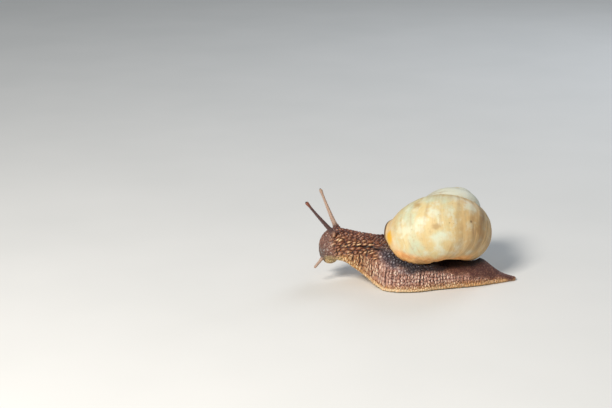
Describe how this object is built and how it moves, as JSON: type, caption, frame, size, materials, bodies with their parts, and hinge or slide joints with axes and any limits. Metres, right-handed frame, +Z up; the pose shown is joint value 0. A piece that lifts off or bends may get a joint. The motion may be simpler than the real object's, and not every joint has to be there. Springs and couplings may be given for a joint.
{
  "type": "garden snail",
  "caption": "Life-size crawling Roman snail with a right-handed coiled shell, stretched neck and raised eye stalks.",
  "frame": {"origin": "on the flat sole of the foot, under the middle of the shell", "axes": "-X towards the head, -Y to the snail's left side, +Z up from the ground"},
  "size_m": [0.0749, 0.035, 0.0319],
  "materials": {
    "shell": "satin lime shell, cream with tan growth streaks and a dull grey-white spire",
    "mantle": "moist dark brown skin",
    "skin": "moist brown skin with pale ochre knobs parted by dark furrows",
    "eye": "glossy black bead"
  },
  "bodies": {
    "root": {"shell": "shell", "mantle_collar": "mantle", "head": "skin", "neck": "skin", "foot": "skin", "tail": "skin", "eye_stalk_left": "skin", "eye_stalk_right": "skin", "mouth_feeler_left": "skin", "mouth_feeler_right": "skin", "eye_left": "eye", "eye_right": "eye"}
  },
  "joints": []
}
